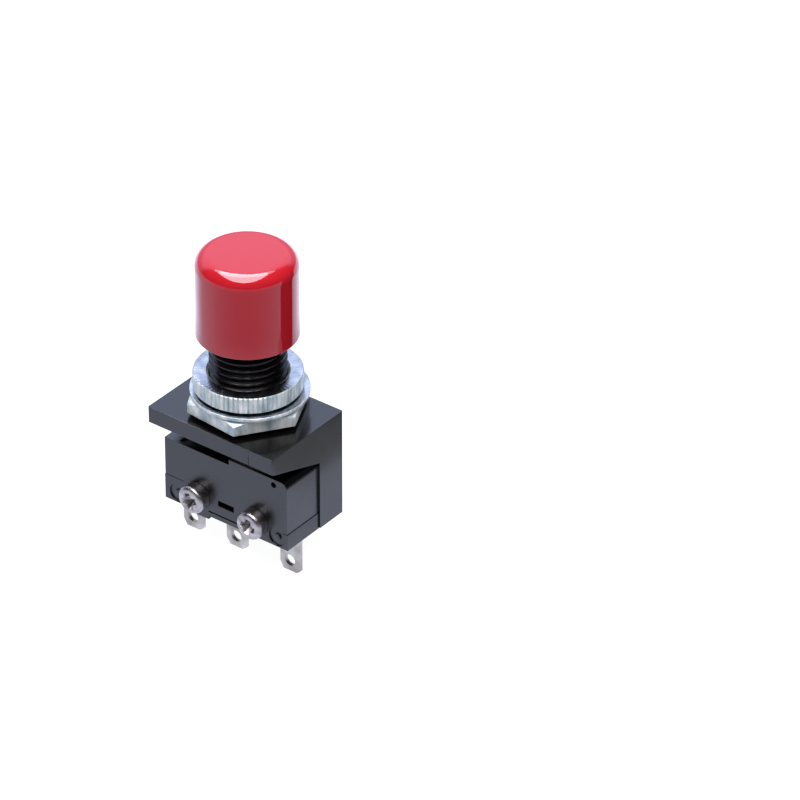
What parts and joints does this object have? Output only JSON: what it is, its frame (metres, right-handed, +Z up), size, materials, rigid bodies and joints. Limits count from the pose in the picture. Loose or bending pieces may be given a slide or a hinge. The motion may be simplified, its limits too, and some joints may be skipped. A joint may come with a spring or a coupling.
{
  "type": "pushbutton switch",
  "caption": "Panel-mount pushbutton: a round red cap on a threaded neck with nuts, over an L-shaped holder that carries a snap-action microswitch with solder lugs.",
  "frame": {"origin": "on the axis of the threaded neck, on the ring nut's underside, which is the panel's outer face when the part is mounted", "axes": "+Z up the neck towards the cap, +X along the microswitch towards its common terminal, -Y out of the face that the screws enter"},
  "size_m": [0.0201, 0.0157, 0.0438],
  "materials": {
    "black_moulding": "satin moulded black plastic",
    "zinc_plate": "bright blue-white zinc plate on turned steel",
    "red_cap": "polished moulded red plastic",
    "acetal": "natural acetal",
    "spring_steel": "plain spring steel",
    "case_moulding": "satin moulded black thermoset",
    "plunger_moulding": "moulded plastic",
    "spring_copper": "rolled copper alloy strip",
    "contact_silver": "silver",
    "tinned_brass": "tin plate on stamped brass",
    "nickel_plate": "bright nickel plate on steel",
    "insert_brass": "turned brass"
  },
  "bodies": {
    "frame": {"holder": "black_moulding", "hex_nut": "zinc_plate", "washer": "zinc_plate", "ring_nut": "zinc_plate", "mounting_screws": "nickel_plate", "threaded_inserts": "insert_brass", "switch_base": "case_moulding", "switch_cover": "case_moulding", "com_terminal": "tinned_brass", "no_terminal": "tinned_brass", "nc_terminal": "tinned_brass", "no_contact": "contact_silver", "nc_contact": "contact_silver", "return_spring": "spring_steel"},
    "button": {"button_cap": "red_cap", "push_rod": "acetal", "retaining_clip": "spring_steel"},
    "plunger": {"switch_plunger": "plunger_moulding"},
    "snap_arm": {"contact_arm": "spring_copper", "moving_contact": "contact_silver", "tension_spring": "spring_copper"}
  },
  "joints": [
    {"name": "button_press", "type": "slide", "parent": "frame", "child": "button", "axis": [0, 0, -1], "range_m": [0, 0.001], "stiffness_N_per_m": 1500, "springref_m": -0.0015, "deforming": ["return_spring"]},
    {"name": "plunger_press", "type": "slide", "parent": "frame", "child": "plunger", "axis": [0, 0, -1], "range_m": [0, 0.001]},
    {"name": "snap_arm_tilt", "type": "hinge", "parent": "frame", "child": "snap_arm", "pos_m": [0.00625, -0.00149, -0.01265], "axis": [0, -1, 0], "range_deg": [0, 1.76]}
  ],
  "couplings": [
    {"joint": "plunger_press", "follows": "button_press", "ratio": 1},
    {"joint": "snap_arm_tilt", "follows": "button_press", "rad_per_m": 30.534}
  ]
}
